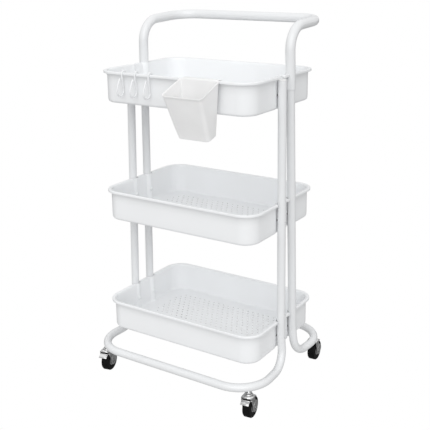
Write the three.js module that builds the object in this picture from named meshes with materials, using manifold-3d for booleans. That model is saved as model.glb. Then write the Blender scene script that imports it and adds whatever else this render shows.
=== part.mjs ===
// Rolling utility cart: three pressed-steel baskets on two bent tube frames, a push handle,
// four swivel casters (the front pair with brakes), a hanging cup and three S-hooks.
// Units are millimetres. +Z is up, the floor is z = 0, -Y is the front and +X is the right side.
import * as THREE from 'three';
import { mergeVertices } from 'three/addons/utils/BufferGeometryUtils.js';
import Module from 'manifold-3d';

const wasm = await Module();
wasm.setup();

// ---- driving dimensions -----------------------------------------------------------------
const GAP = 0.3;                 // clearance kept between touching pieces

const BASKET_L = { bottom: 426.7, middle: 420, top: 413.2 };   // rim to rim, along X: the posts lean together
const BASKET_W = 300;            // rim to rim, along Y
const RIM_R = 45;                // plan radius of the rim's corners
const LIP_UP = 3.6, LIP_DOWN = 2.6;   // turned lip above and below RIM_Z
const OVERHANG = 8;              // the lip stands this far outside the wall
const BASKET_H = 69.2;           // underside to RIM_Z
const SHEET = 0.9;               // sheet thickness of the baskets
const FOOT_R = 5;                // rounding of the basket's bottom edge
const RIM_Z = { bottom: 185, middle: 466, top: 748 };
const GROOVE_CLEAR = 1.7;        // extra room round the posts in the pressed grooves

const TUBE_R = 9.5;              // frame tube outer radius
const TUBE_WALL = 1.1;
const FRONT_LEAN = 0.012, REAR_LEAN = 0.018;   // the posts also come together in X, per mm of height
const FRONT_POST_X = 211;        // post axes at the middle rim
const REAR_POST_X = 207.4;
const POST_Y_LOW = 28.8;         // post axis offset at POST_Z_LOW
const POST_Z_LOW = 185;
const POST_Y_TOP = 23.0;         // and at POST_Z_TOP: the posts lean together
const POST_Z_TOP = 748;
const FRONT_POST_END = 742;      // tube end of the front posts
const REAR_POST_END = 800;       // tube end of the rear posts, inside the handle
const BASE_Z = 75;               // axis height of the base loop
const BASE_Y = 182;              // axis of the front and rear base bars
const BASE_X = 229;              // where the bar's and the side arms' axes meet
const BASE_CORNER_R = 77;
const BASE_BEND_R = 46;
const FLARE = 6, FLARE_Z = 150;  // the posts splay outwards below the bottom basket

const HANDLE_R = 11.0;           // the handle slips over the rear posts
const HANDLE_BORE_R = 10.15;     // polygon corners: its flats clear the posts by GAP
const HANDLE_Z = 858;            // axis height of the grip bar
const HANDLE_Y = 182;            // axis of the grip bar behind the middle
const HANDLE_END = 716;          // lower end of the sleeves
const HANDLE_BEND_R = 52;
const HANDLE_CORNER_R = 55;
const HANDLE_RISE = 8;
const HANDLE_X = 198;            // half length of the grip bar, axis to axis

const SCREW_DROP = 38;           // basket screws below the bead's middle
const SWIVEL_X = 206, SWIVEL_Y = 159.5;
const WHEEL_R = 25, WHEEL_W = 20, TRAIL = 8;
const CHEEK_R = 13.6, CHEEK_Z = 29;

const CUP = { x: 82.3, halfTopBack: 48.8, halfTopFront: 50, halfBot: 41.5, yBack: -152.4,
  yFrontTop: -222, yFrontBot: -181, zTopBack: 751.5, zTopFront: 723.5, zBotBack: 637, zBotFront: 627,
  wall: 2, round: 8 };
const HOOK_X = [-127, -90.5, -53];
const HOOK_R = 2, HOOK_LOOP = 7.4;

// ---- finishes ---------------------------------------------------------------------------
const mat = (color, roughness, metalness) => new THREE.MeshStandardMaterial({ color, roughness, metalness });
const WHITE = mat(0xececeb, 0.38, 0.0);
const CUPMAT = mat(0xe2e3e3, 0.45, 0.0);
const CAPMAT = mat(0xe9e9e9, 0.5, 0.0);
const CHROME = mat(0xc9cbcd, 0.18, 1.0);
const STEEL = mat(0x8d9093, 0.35, 1.0);
const RUBBER = mat(0x141414, 0.7, 0.0);
const HUB = mat(0x9a9c9e, 0.5, 0.0);

// ---- helpers ----------------------------------------------------------------------------
const V3 = (x, y, z) => new THREE.Vector3(x, y, z);

function toSolid(geometry) {
  let g = geometry.clone();
  g.deleteAttribute('normal');
  g.deleteAttribute('uv');
  g = mergeVertices(g, 1e-4);
  const vp = new Float32Array(g.attributes.position.array);
  const tv = new Uint32Array(g.index.array);
  return new wasm.Manifold(new wasm.Mesh({ numProp: 3, vertProperties: vp, triVerts: tv }));
}
function toGeometry(solid) {
  const m = solid.getMesh();
  const pos = new Float32Array(m.numVert * 3);
  for (let i = 0; i < m.numVert; i++) for (let k = 0; k < 3; k++) pos[3 * i + k] = m.vertProperties[i * m.numProp + k];
  const g = new THREE.BufferGeometry();
  g.setAttribute('position', new THREE.BufferAttribute(pos, 3));
  g.setIndex(new THREE.BufferAttribute(new Uint32Array(m.triVerts), 1));
  return g;
}
const union = (...s) => s.reduce((a, b) => a.add(b));
const cut = (a, ...s) => s.reduce((p, q) => p.subtract(q), a);
const boxSolid = (x0, y0, z0, x1, y1, z1) =>
  toSolid(new THREE.BoxGeometry(x1 - x0, y1 - y0, z1 - z0).translate((x0 + x1) / 2, (y0 + y1) / 2, (z0 + z1) / 2));

// a cylinder from point a to point b
function rod(a, b, r, sides = 12, turn = 0) {
  const d = new THREE.Vector3().subVectors(b, a);
  const g = new THREE.CylinderGeometry(r, r, d.length(), sides, 1);
  g.rotateY(turn);
  const q = new THREE.Quaternion().setFromUnitVectors(V3(0, 1, 0), d.clone().normalize());
  g.applyQuaternion(q);
  const m = new THREE.Vector3().addVectors(a, b).multiplyScalar(0.5);
  return g.translate(m.x, m.y, m.z);
}

// rounded polyline: corner points with a fillet radius each, as a list of points
function filleted(points, radii, stepDeg = 18.5) {
  const out = [points[0].clone()];
  for (let i = 1; i < points.length - 1; i++) {
    const p = points[i];
    const a = points[i - 1].clone().sub(p).normalize();
    const b = points[i + 1].clone().sub(p).normalize();
    const ang = a.angleTo(b);
    const R = radii[i - 1];
    const t = R / Math.tan(ang / 2);
    const A = p.clone().addScaledVector(a, t);
    const B = p.clone().addScaledVector(b, t);
    const c = p.clone().addScaledVector(a.clone().add(b).normalize(), R / Math.sin(ang / 2));
    const u = A.clone().sub(c).divideScalar(R);
    const w = B.clone().sub(c).divideScalar(R);
    const th = u.angleTo(w);
    const v = w.clone().addScaledVector(u, -Math.cos(th)).divideScalar(Math.sin(th));
    const n = Math.max(2, Math.round((th * 180 / Math.PI) / stepDeg));
    for (let k = 0; k <= n; k++) {
      const q = th * k / n;
      out.push(c.clone().addScaledVector(u, R * Math.cos(q)).addScaledVector(v, R * Math.sin(q)));
    }
  }
  out.push(points[points.length - 1].clone());
  return out;
}

// a path whose sections sit exactly on the listed points
class PointPath extends THREE.Curve {
  constructor(points) { super(); this.points = points; }
  getPoint(t, target = new THREE.Vector3()) {
    const n = this.points.length - 1;
    const f = Math.min(Math.max(t, 0), 1) * n;
    const i = Math.min(Math.floor(f + 1e-9), n - 1);
    return target.copy(this.points[i]).lerp(this.points[i + 1], f - i);
  }
  getPointAt(u, target) { return this.getPoint(u, target); }
  getTangent(t, target = new THREE.Vector3()) {
    const n = this.points.length - 1;
    const i = Math.round(t * n);
    const p = this.points;
    target.set(0, 0, 0);
    if (i > 0) target.add(p[i].clone().sub(p[i - 1]).normalize());
    if (i < n) target.add(p[i + 1].clone().sub(p[i]).normalize());
    return target.normalize();
  }
  getTangentAt(u, target) { return this.getTangent(u, target); }
  getSpacedPoints() { return this.points.map((p) => p.clone()); }
}
function polygonShape(r, sides, turn = 0) {
  const s = new THREE.Shape();
  for (let i = 0; i < sides; i++) {
    const a = turn + 2 * Math.PI * i / sides;
    if (i) s.lineTo(r * Math.cos(a), r * Math.sin(a)); else s.moveTo(r * Math.cos(a), r * Math.sin(a));
  }
  s.closePath();
  return s;
}
function sweep(points, r, sides, innerR = 0, innerSides = 8) {
  const shape = polygonShape(r, sides);
  if (innerR > 0) shape.holes.push(new THREE.Path(polygonShape(innerR, innerSides).getPoints().reverse()));
  return new THREE.ExtrudeGeometry(shape, { steps: points.length - 1, extrudePath: new PointPath(points), bevelEnabled: false });
}

function roundedRect(L, W, R, seg = 4, PathType = THREE.Shape) {
  const pts = [];
  const c = [[L / 2 - R, W / 2 - R, 0], [-(L / 2 - R), W / 2 - R, 90], [-(L / 2 - R), -(W / 2 - R), 180], [L / 2 - R, -(W / 2 - R), 270]];
  for (const [x, y, a0] of c) for (let k = 0; k <= seg; k++) {
    const a = (a0 + 90 * k / seg) * Math.PI / 180;
    pts.push(new THREE.Vector2(x + R * Math.cos(a), y + R * Math.sin(a)));
  }
  return new PathType(pts);
}

// solid between closed rings that all have the same number of points (planar end rings)
function loft(rings) {
  const n = rings[0].length;
  const pos = [], idx = [];
  for (const r of rings) for (const p of r) pos.push(p.x, p.y, p.z);
  for (let k = 0; k < rings.length - 1; k++) for (let i = 0; i < n; i++) {
    const a = k * n + i, b = k * n + (i + 1) % n, c = a + n, d = b + n;
    idx.push(a, b, d, a, d, c);
  }
  for (let i = 1; i < n - 1; i++) idx.push(0, i + 1, i);
  const o = (rings.length - 1) * n;
  for (let i = 1; i < n - 1; i++) idx.push(o, o + i, o + i + 1);
  const g = new THREE.BufferGeometry();
  g.setAttribute('position', new THREE.Float32BufferAttribute(pos, 3));
  g.setIndex(idx);
  return g;
}

const root = new THREE.Group();
const all = new THREE.Group();
root.add(all);
function add(parent, name, geometry, material, position) {
  const m = new THREE.Mesh(geometry, material);
  m.name = name;
  if (position) m.position.copy(position);
  parent.add(m);
  return m;
}

// ---- posts ------------------------------------------------------------------------------
const postY = (z) => POST_Y_LOW + (POST_Y_TOP - POST_Y_LOW) * (z - POST_Z_LOW) / (POST_Z_TOP - POST_Z_LOW);
const postX = (sy, z) => sy < 0 ? FRONT_POST_X + (RIM_Z.middle - z) * FRONT_LEAN : REAR_POST_X + (RIM_Z.middle - z) * REAR_LEAN;
const postPoint = (sx, sy, z) => V3(sx * postX(sy, z), sy * postY(z), z);
const grooveR = (TUBE_R + GAP + GROOVE_CLEAR) / Math.cos(Math.PI / 12);

function screwSpots(sy) {
  const spots = [];
  for (const tier of ['bottom', 'middle', 'top']) for (const sx of [-1, 1]) {
    const z = RIM_Z[tier] - SCREW_DROP;
    spots.push({ tier, sx, sy, z, y: sy * postY(z), x: postX(sy, z) });
  }
  return spots;
}

// ---- tube frames: each is one bent tube, two posts and a base loop --------------------------
for (const [name, sy, zEnd] of [['front_frame', -1, FRONT_POST_END], ['rear_frame', 1, REAR_POST_END]]) {
  const low = postX(sy, BASE_Z) + FLARE;
  const corner = [
    postPoint(-1, sy, zEnd), postPoint(-1, sy, FLARE_Z), V3(-low, sy * postY(BASE_Z), BASE_Z), V3(-BASE_X, sy * BASE_Y, BASE_Z),
    V3(BASE_X, sy * BASE_Y, BASE_Z), V3(low, sy * postY(BASE_Z), BASE_Z), postPoint(1, sy, FLARE_Z), postPoint(1, sy, zEnd)];
  const pts = filleted(corner, [120, BASE_BEND_R, BASE_CORNER_R, BASE_CORNER_R, BASE_BEND_R, 120]);
  let solid = toSolid(sweep(pts, TUBE_R, 10, TUBE_R - TUBE_WALL, 8));
  for (const s of screwSpots(sy)) {
    const xi = s.sx * (s.x - TUBE_R - 4), xo = s.sx * (s.x - 2);
    solid = cut(solid, toSolid(rod(V3(xi, s.y, s.z), V3(xo, s.y, s.z), 2.4, 6)));
  }
  for (const sx of [-1, 1]) solid = cut(solid, toSolid(rod(V3(sx * SWIVEL_X, sy * SWIVEL_Y, BASE_Z - 14), V3(sx * SWIVEL_X, sy * SWIVEL_Y, BASE_Z), 4.8, 8)));
  add(all, name, toGeometry(solid), WHITE);
}
for (const [name, sx] of [['front_left_post_cap', -1], ['front_right_post_cap', 1]]) {
  const g = new THREE.LatheGeometry([[0, -12], [6.6, -12], [6.6, GAP], [9.3, GAP], [9.3, 1.8], [6.5, 3.2], [0, 3.6]].map((p) => new THREE.Vector2(p[0], p[1])), 12);
  g.rotateX(Math.PI / 2);
  add(all, name, g, CAPMAT, postPoint(sx, -1, FRONT_POST_END));
}

// ---- push handle: sleeves over the rear posts, bent back to a grip bar ------------------------
{
  const zBend = HANDLE_Z - HANDLE_RISE;
  const corner = [
    postPoint(-1, 1, HANDLE_END), postPoint(-1, 1, zBend), V3(-HANDLE_X, HANDLE_Y, HANDLE_Z),
    V3(HANDLE_X, HANDLE_Y, HANDLE_Z), postPoint(1, 1, zBend), postPoint(1, 1, HANDLE_END)];
  const pts = filleted(corner, [HANDLE_BEND_R, HANDLE_CORNER_R, HANDLE_CORNER_R, HANDLE_BEND_R]);
  add(all, 'handle', sweep(pts, HANDLE_R, 12, HANDLE_BORE_R, 12), WHITE);
}

// ---- baskets ----------------------------------------------------------------------------
function basketShell(rimZ, rimL) {
  const L = rimL - 2 * OVERHANG, W = BASKET_W - 2 * OVERHANG, R = RIM_R - OVERHANG;
  const z0 = rimZ - BASKET_H;
  const block = (inset, zLow, zTop, foot) => {
    const g = new THREE.ExtrudeGeometry(roundedRect(L - 2 * inset - 2 * foot, W - 2 * inset - 2 * foot, R - inset - foot), {
      depth: zTop - zLow, bevelEnabled: true, bevelSize: foot, bevelThickness: foot, bevelSegments: 1, steps: 1 });
    g.translate(0, 0, zLow + foot);
    return toSolid(g);
  };
  let outer = block(0, z0, rimZ + 30, FOOT_R);
  let inner = block(SHEET, z0 + SHEET, rimZ + 60, FOOT_R - SHEET);
  const trimZ = rimZ + 2.2;
  const trim = boxSolid(-400, -300, trimZ, 400, 300, trimZ + 200);
  outer = cut(outer, trim);
  let shell = cut(outer, inner);
  // turned lip
  const b = 2.2, ringW = OVERHANG + SHEET - 2 * b;
  const ring = roundedRect(rimL - 2 * b, BASKET_W - 2 * b, RIM_R - b);
  ring.holes.push(roundedRect(rimL - 2 * b - 2 * ringW, BASKET_W - 2 * b - 2 * ringW, RIM_R - b - ringW, 4, THREE.Path));
  const bead = new THREE.ExtrudeGeometry(ring, { depth: LIP_UP + LIP_DOWN - 2 * b, bevelEnabled: true, bevelSize: b, bevelThickness: b, bevelSegments: 1, steps: 1 });
  bead.translate(0, 0, rimZ - LIP_DOWN + b);
  shell = union(shell, toSolid(bead));
  // grooves that the posts nest in, pressed into the short walls
  const wallX = L / 2;
  const clear = [];
  let lining = null;
  for (const sx of [-1, 1]) for (const sy of [-1, 1]) {
    const c = grooveR;
    const lo = z0 - 20, hi = rimZ + 40;
    const tube = toSolid(rod(postPoint(sx, sy, lo), postPoint(sx, sy, hi), c + SHEET, 12));
    lining = lining ? lining.add(tube) : tube;
    clear.push(toSolid(rod(postPoint(sx, sy, lo), postPoint(sx, sy, hi), c, 12)));
  }
  const keep = boxSolid(-wallX + 0.2, -W / 2, z0, wallX - 0.2, W / 2, rimZ + LIP_UP - 0.2);
  lining = lining.intersect(keep);
  shell = union(shell, lining);
  shell = cut(shell, ...clear);
  // screw holes through the groove walls
  const holes = [];
  for (const sx of [-1, 1]) for (const sy of [-1, 1]) {
    const z = rimZ - SCREW_DROP, y = sy * postY(z);
    const x = postX(sy, z);
    holes.push(toSolid(rod(V3(sx * (x - 22), y, z), V3(sx * x, y, z), 2.4, 6)));
  }
  return cut(shell, ...holes);
}
for (const tier of ['bottom', 'middle', 'top']) {
  add(all, tier + '_basket', toGeometry(basketShell(RIM_Z[tier], BASKET_L[tier])), WHITE);
}

// ---- basket screws: head inside the basket, shank into the post -----------------------------
for (const sy of [-1, 1]) for (const s of screwSpots(sy)) {
  const face = s.x - grooveR - SHEET - GAP;         // inner face of the groove wall
  const tip = s.x - TUBE_R + 3.5;
  const prof = [[0, face - 3.2], [2.8, face - 3.0], [4.9, face - 0.8], [4.9, face], [1.95, face], [1.95, tip], [0, tip]]
    .map((p) => new THREE.Vector2(p[0], p[1]));
  const g = new THREE.LatheGeometry(prof, 8);       // along +Y, turned to run along X
  g.rotateZ(-Math.PI / 2);
  if (s.sx < 0) g.rotateZ(Math.PI);
  add(all, `${s.tier}_screw_${sy < 0 ? 'front' : 'rear'}_${s.sx < 0 ? 'left' : 'right'}`, g, STEEL, V3(0, s.y, s.z));
}

// ---- casters ----------------------------------------------------------------------------
function lathe(profile, seg, axis = 'z') {
  const g = new THREE.LatheGeometry(profile.map((p) => new THREE.Vector2(p[0], p[1])), seg);
  if (axis === 'z') g.rotateX(Math.PI / 2);
  if (axis === 'x') g.rotateZ(-Math.PI / 2);
  return g;
}
function forkSolid(brake) {
  const crown = toSolid(lathe([[0, 53.4], [13, 53.4], [13, 56.4], [9.6, 58], [9.2, 61.6], [4.6, 61.6], [4.6, 57.4], [0, 57.4]], 12));
  const plate = boxSolid(-13.6, -12, 53.4, 13.6, 11, 55.2);
  let s = union(crown, plate);
  for (const sx of [-1, 1]) {
    const sh = new THREE.Shape();
    const cy = TRAIL, cz = CHEEK_Z, r = CHEEK_R;
    // a neck from the crown into a broad round cheek that carries the axle near its foot
    sh.moveTo(-11, 55.2); sh.lineTo(-11.5, 48); sh.lineTo(-8.4, 40);
    for (let k = 0; k <= 9; k++) { const a = Math.PI * (0.9 + 1.5 * k / 9); sh.lineTo(cy + r * Math.cos(a), cz + r * Math.sin(a)); }
    sh.lineTo(4.6, 47); sh.lineTo(4.2, 55.2); sh.closePath();
    const leg = new THREE.ExtrudeGeometry(sh, { depth: 1.6, bevelEnabled: false });
    // shape (y, z) extruded along x
    leg.applyMatrix4(new THREE.Matrix4().set(0, 0, 1, 0, 1, 0, 0, 0, 0, 1, 0, 0, 0, 0, 0, 1));
    leg.translate(sx > 0 ? 12.0 : -13.6, 0, 0);
    s = s.add(toSolid(leg));
  }
  s = cut(s, toSolid(rod(V3(-20, TRAIL, WHEEL_R), V3(20, TRAIL, WHEEL_R), 3.5, 8)));
  if (brake) s = cut(s, toSolid(rod(V3(-20, -9, 48.6), V3(20, -9, 48.6), 2.0, 8)));
  return s;
}
function pedalSolid() {
  // stamped foot plate with a turned lip, on a cross pin
  const sh = new THREE.Shape();
  const p = [[-10.6, 51.2], [-17, 50.4], [-22.6, 48], [-25.8, 44.6], [-24.6, 43.6], [-21.6, 46.4], [-16.6, 48.6], [-10.6, 49.4], [-8.2, 47.2], [-7.2, 49.4], [-8.6, 51.2]];
  sh.setFromPoints(p.map((q) => new THREE.Vector2(q[0], q[1])));
  const g = new THREE.ExtrudeGeometry(sh, { depth: 20.6, bevelEnabled: false });
  g.applyMatrix4(new THREE.Matrix4().set(0, 0, 1, 0, 1, 0, 0, 0, 0, 1, 0, 0, 0, 0, 0, 1));
  g.translate(-10.3, 0, 0);
  return union(toSolid(g), toSolid(rod(V3(-13.4, -9, 48.6), V3(13.4, -9, 48.6), 1.6, 8)));
}
const casters = [
  ['front_left', -1, -1, 12, true], ['front_right', 1, -1, 7, true],
  ['rear_left', -1, 1, 3, false], ['rear_right', 1, 1, 5, false]];
for (const [name, sx, sy, turn, brake] of casters) {
  const at = new THREE.Group();
  at.position.set(sx * SWIVEL_X, sy * SWIVEL_Y, 0);
  at.rotation.z = turn * Math.PI / 180;
  all.add(at);
  // fixed stem with its hexagon, screwed up into the base tube
  const hex = toSolid(lathe([[0, 61.9], [7.6, 61.9], [7.6, 65.2], [0, 65.2]], 6));
  const stem = toSolid(rod(V3(0, 0, 57.9), V3(0, 0, 75), 4.0, 8));
  add(at, name + '_caster_stem', toGeometry(union(hex, stem)), CHROME);
  add(at, name + '_caster_fork', toGeometry(forkSolid(brake)), CHROME);
  const R = WHEEL_R / Math.cos(Math.PI / 24);
  const tyre = lathe([[12.2, -9], [20.5, -10], [24.3, -8.6], [R, -5.4], [R, 5.4], [24.3, 8.6], [20.5, 10], [12.2, 9], [12.2, -9]], 24, 'x');
  tyre.rotateX(Math.PI / 24);
  add(at, name + '_tyre', tyre, RUBBER, V3(0, TRAIL, WHEEL_R));
  const hub = lathe([[3.4, -10.6], [6, -10.6], [7.5, -9.2], [11.6, -9.2], [11.6, 9.2], [7.5, 9.2], [6, 10.6], [3.4, 10.6], [3.4, -10.6]], 16, 'x');
  add(at, name + '_hub', hub, HUB, V3(0, TRAIL, WHEEL_R));
  const axle = lathe([[0, -15.6], [4.6, -14.8], [4.6, -13.9], [3.0, -13.9], [3.0, 13.9], [4.6, 13.9], [4.6, 14.8], [0, 15.6]], 8, 'x');
  add(at, name + '_axle', axle, STEEL, V3(0, TRAIL, WHEEL_R));
  if (brake) add(at, name + '_brake_pedal', toGeometry(pedalSolid()), CHROME);
}

// ---- hanging cup: tapered, its lip hooks over the top basket's rim ---------------------------
{
  const ring = (z0, z1, yBack, yFront, halfBack, halfFront, R, inset) => {
    // plan trapezium with rounded corners; height runs from z0 at the back to z1 at the front
    const corners = [[halfBack - inset, yBack - inset], [-(halfBack - inset), yBack - inset], [-(halfFront - inset), yFront + inset], [halfFront - inset, yFront + inset]];
    const pts = [];
    const r = Math.max(R - inset, 1);
    for (let i = 0; i < 4; i++) {
      const p = new THREE.Vector2(...corners[i]), a = new THREE.Vector2(...corners[(i + 3) % 4]).sub(p).normalize(), b = new THREE.Vector2(...corners[(i + 1) % 4]).sub(p).normalize();
      const rr = i < 2 ? Math.min(r, 5) : r;
      const ang = Math.acos(a.dot(b)), t = rr / Math.tan(ang / 2);
      const c = p.clone().addScaledVector(a.clone().add(b).normalize(), rr / Math.sin(ang / 2));
      const A = p.clone().addScaledVector(a, t).sub(c), B = p.clone().addScaledVector(b, t).sub(c);
      const a0 = Math.atan2(A.y, A.x); let da = Math.atan2(B.y, B.x) - a0;
      while (da > Math.PI) da -= 2 * Math.PI; while (da < -Math.PI) da += 2 * Math.PI;
      for (let k = 0; k <= 4; k++) pts.push([c.x + rr * Math.cos(a0 + da * k / 4), c.y + rr * Math.sin(a0 + da * k / 4)]);
    }
    return pts.map(([x, y]) => V3(CUP.x + x, y, z0 + (z1 - z0) * (y - yBack) / (yFront - yBack)));
  };
  const w = CUP.wall;
  const outer = loft([
    ring(CUP.zBotBack, CUP.zBotFront, CUP.yBack, CUP.yFrontBot, CUP.halfBot, CUP.halfBot - 1, CUP.round, 0),
    ring(CUP.zTopBack, CUP.zTopFront, CUP.yBack, CUP.yFrontTop, CUP.halfTopBack, CUP.halfTopFront, CUP.round, 0)]);
  const up = 20, k = up / (CUP.zTopFront - CUP.zBotFront);
  const inner = loft([
    ring(CUP.zBotBack + w, CUP.zBotFront + w, CUP.yBack, CUP.yFrontBot, CUP.halfBot, CUP.halfBot - 1, CUP.round, w),
    ring(CUP.zTopBack + up, CUP.zTopFront + up, CUP.yBack, CUP.yFrontTop + (CUP.yFrontTop - CUP.yFrontBot) * k, CUP.halfTopBack + (CUP.halfTopBack - CUP.halfBot) * k, CUP.halfTopFront + (CUP.halfTopFront - CUP.halfBot) * k, CUP.round, w)]);
  let cup = cut(toSolid(outer), toSolid(inner));
  const sh = new THREE.Shape();
  const zt = RIM_Z.top + LIP_UP + 0.4, yb = -BASKET_W / 2 - 0.4, yi = -(BASKET_W / 2 - OVERHANG - SHEET) + 0.4;
  sh.setFromPoints([[yb - 2, zt - 14], [yb, zt - 14], [yb, zt], [yi, zt], [yi, zt - 9], [yi + 1.8, zt - 9.6], [yi + 1.8, zt + 0.9], [yi + 0.8, zt + 1.8], [yb - 1, zt + 1.8], [yb - 2, zt + 0.9]].map((q) => new THREE.Vector2(q[0], q[1])));
  const lip = new THREE.ExtrudeGeometry(sh, { depth: 2 * 45.5, bevelEnabled: false });
  lip.applyMatrix4(new THREE.Matrix4().set(0, 0, 1, 0, 1, 0, 0, 0, 0, 1, 0, 0, 0, 0, 0, 1));
  lip.translate(CUP.x - 45.5, 0, 0);
  cup = union(cup, toSolid(lip));
  add(all, 'hanging_cup', toGeometry(cup), CUPMAT);
}

// ---- S-hooks over the front rim ---------------------------------------------------------
HOOK_X.forEach((x, i) => {
  const cy = -(BASKET_W / 2 - 4.5), cz = RIM_Z.top, up = (z) => cz + z;
  const pts = [];
  for (let a = 8; a <= 180; a += 21.5) pts.push([cy + HOOK_LOOP * Math.cos(a * Math.PI / 180), cz + HOOK_LOOP * Math.sin(a * Math.PI / 180)]);
  pts.push([cy - 7.2, up(-8)], [cy - 5.0, up(-22)], [cy - 2.9, up(-34)]);
  const bc = [cy - 14.4, up(-36.4)], br = 11.6;
  for (let a = 0; a >= -180; a -= 30) pts.push([bc[0] + br * Math.cos(a * Math.PI / 180), bc[1] + br * Math.sin(a * Math.PI / 180)]);
  pts.push([cy - 24.4, up(-28)], [cy - 19.6, up(-17.5)], [cy - 14.4, up(-9.0)]);
  add(all, 'hook_' + (i + 1), sweep(pts.map(([y, z]) => V3(x, y, z)), HOOK_R, 6), WHITE);
});

// the origin is the middle of the footprint, on the floor
all.updateMatrixWorld(true);
const bounds = new THREE.Box3().setFromObject(all, true);
all.position.set(-(bounds.min.x + bounds.max.x) / 2, -(bounds.min.y + bounds.max.y) / 2, -bounds.min.z);
root.updateMatrixWorld(true);

export default root;
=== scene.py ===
# Rolling utility cart: the looks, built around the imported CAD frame. Lengths in the helpers are millimetres.
import math
import bpy
import bmesh
import numpy as np
from mathutils import Matrix, Vector
from mathutils.geometry import delaunay_2d_cdt


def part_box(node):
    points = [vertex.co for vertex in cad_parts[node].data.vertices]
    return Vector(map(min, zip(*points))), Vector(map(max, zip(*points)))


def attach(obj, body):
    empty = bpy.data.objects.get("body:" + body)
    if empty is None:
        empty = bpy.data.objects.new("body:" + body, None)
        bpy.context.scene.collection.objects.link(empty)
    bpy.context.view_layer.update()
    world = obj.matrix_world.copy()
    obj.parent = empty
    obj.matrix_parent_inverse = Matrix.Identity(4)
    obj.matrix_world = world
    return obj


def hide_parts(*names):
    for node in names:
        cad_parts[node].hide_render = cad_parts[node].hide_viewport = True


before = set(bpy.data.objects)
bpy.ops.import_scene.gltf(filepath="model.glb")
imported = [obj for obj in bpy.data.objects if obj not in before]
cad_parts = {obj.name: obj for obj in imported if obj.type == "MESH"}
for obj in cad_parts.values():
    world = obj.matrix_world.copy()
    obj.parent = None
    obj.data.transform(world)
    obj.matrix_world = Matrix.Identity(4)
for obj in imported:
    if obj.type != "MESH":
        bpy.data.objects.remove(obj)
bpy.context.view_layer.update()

# ---------------------------------------------------------------- the CAD's own sizes
_mb = [Vector(v) * 1000 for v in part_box("middle_basket")]
_tb = [Vector(v) * 1000 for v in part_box("top_basket")]
_bb = [Vector(v) * 1000 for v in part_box("bottom_basket")]
OX = (_mb[0].x + _mb[1].x) / 2
OY = (_mb[0].y + _mb[1].y) / 2
_BOX = {"bottom": _bb, "middle": _mb, "top": _tb}
RIM_W = _mb[1].y - _mb[0].y
RIM_L = {t: _BOX[t][1].x - _BOX[t][0].x for t in _BOX}
LIP_UP, LIP_DOWN = 3.6, 2.6
OVER = 8.0
RIM_Z = {t: _BOX[t][1].z - LIP_UP for t in _BOX}
BASK_H = 69.2
RIM_R = 45.0
TUBE_R = 9.5
POST_LEAN, POST_X = {-1: 0.012, 1: 0.018}, {-1: 211.0, 1: 207.4}
POST_Y_LOW, POST_Z_LOW, POST_Y_TOP, POST_Z_TOP = 28.8, 185.0, 23.0, 748.0
FRONT_END, REAR_END = 742.0, 800.0
BASE_Z, BASE_Y, BASE_X, CORNER_R, BEND_R = 75.0, 182.0, 229.0, 77.0, 46.0
FLARE, FLARE_Z = 6.0, 150.0
HANDLE_R, HANDLE_Z, HANDLE_Y, HANDLE_END, HANDLE_X = 10.95, 858.0, 182.0, 716.0, 198.0
HANDLE_BEND, HANDLE_CORNER, HANDLE_RISE = 52.0, 55.0, 8.0
SWIVEL_X, SWIVEL_Y, WHEEL_R, TRAIL = 206.0, 159.5, 25.0, 8.0
CHEEK_R, CHEEK_Z = 13.6, 29.0
SCREW_DROP = 38.0
GROOVE_R = 11.75
WORLD, FRONT_SUN = 0.86, 1.32


def post_y(z):
    return POST_Y_LOW + (POST_Y_TOP - POST_Y_LOW) * (z - POST_Z_LOW) / (POST_Z_TOP - POST_Z_LOW)


def post_x(sy, z):
    return POST_X[sy] + (RIM_Z["middle"] - z) * POST_LEAN[sy]


def post_pt(sx, sy, z):
    return (sx * post_x(sy, z), sy * post_y(z), z)


# ---------------------------------------------------------------- mesh helpers
def make(name, verts, faces, mat, body=None, sharp=32.0, local=None):
    """verts in mm in the design frame, or in a local frame given by the matrix `local` (mm)."""
    me = bpy.data.meshes.new(name)
    vs = []
    for v in verts:
        p = Vector(v)
        if local is not None:
            p = local @ p
        vs.append(((p.x + OX) * 0.001, (p.y + OY) * 0.001, p.z * 0.001))
    me.from_pydata(vs, [], [tuple(f) for f in faces])
    me.validate()
    bm = bmesh.new()
    bm.from_mesh(me)
    bmesh.ops.remove_doubles(bm, verts=bm.verts, dist=1e-7)
    bmesh.ops.recalc_face_normals(bm, faces=bm.faces)
    bm.to_mesh(me)
    bm.free()
    finish_mesh(me, sharp)
    ob = bpy.data.objects.new(name, me)
    bpy.context.scene.collection.objects.link(ob)
    if mat is not None:
        me.materials.append(mat)
    if body:
        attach(ob, body)
    return ob


def finish_mesh(me, sharp=32.0):
    me.polygons.foreach_set("use_smooth", [True] * len(me.polygons))
    me.set_sharp_from_angle(angle=math.radians(sharp))


def apply_mods(ob, sharp=32.0):
    dg = bpy.context.evaluated_depsgraph_get()
    me = bpy.data.meshes.new_from_object(ob.evaluated_get(dg))
    old = ob.data
    ob.modifiers.clear()
    ob.data = me
    me.name = old.name
    bpy.data.meshes.remove(old)
    finish_mesh(me, sharp)
    return ob


def bevel(ob, width_mm, segs=2, angle=35, sharp=32.0):
    m = ob.modifiers.new("b", "BEVEL")
    m.width = width_mm * 0.001
    m.segments = segs
    m.limit_method = "ANGLE"
    m.angle_limit = math.radians(angle)
    m.harden_normals = False
    return apply_mods(ob, sharp)


def boolean(ob, other, op="UNION"):
    m = ob.modifiers.new("bo", "BOOLEAN")
    m.object = other
    m.operation = op
    m.solver = "EXACT"
    bpy.context.view_layer.update()
    apply_mods(ob)
    me = other.data
    bpy.data.objects.remove(other)
    bpy.data.meshes.remove(me)
    return ob


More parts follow.
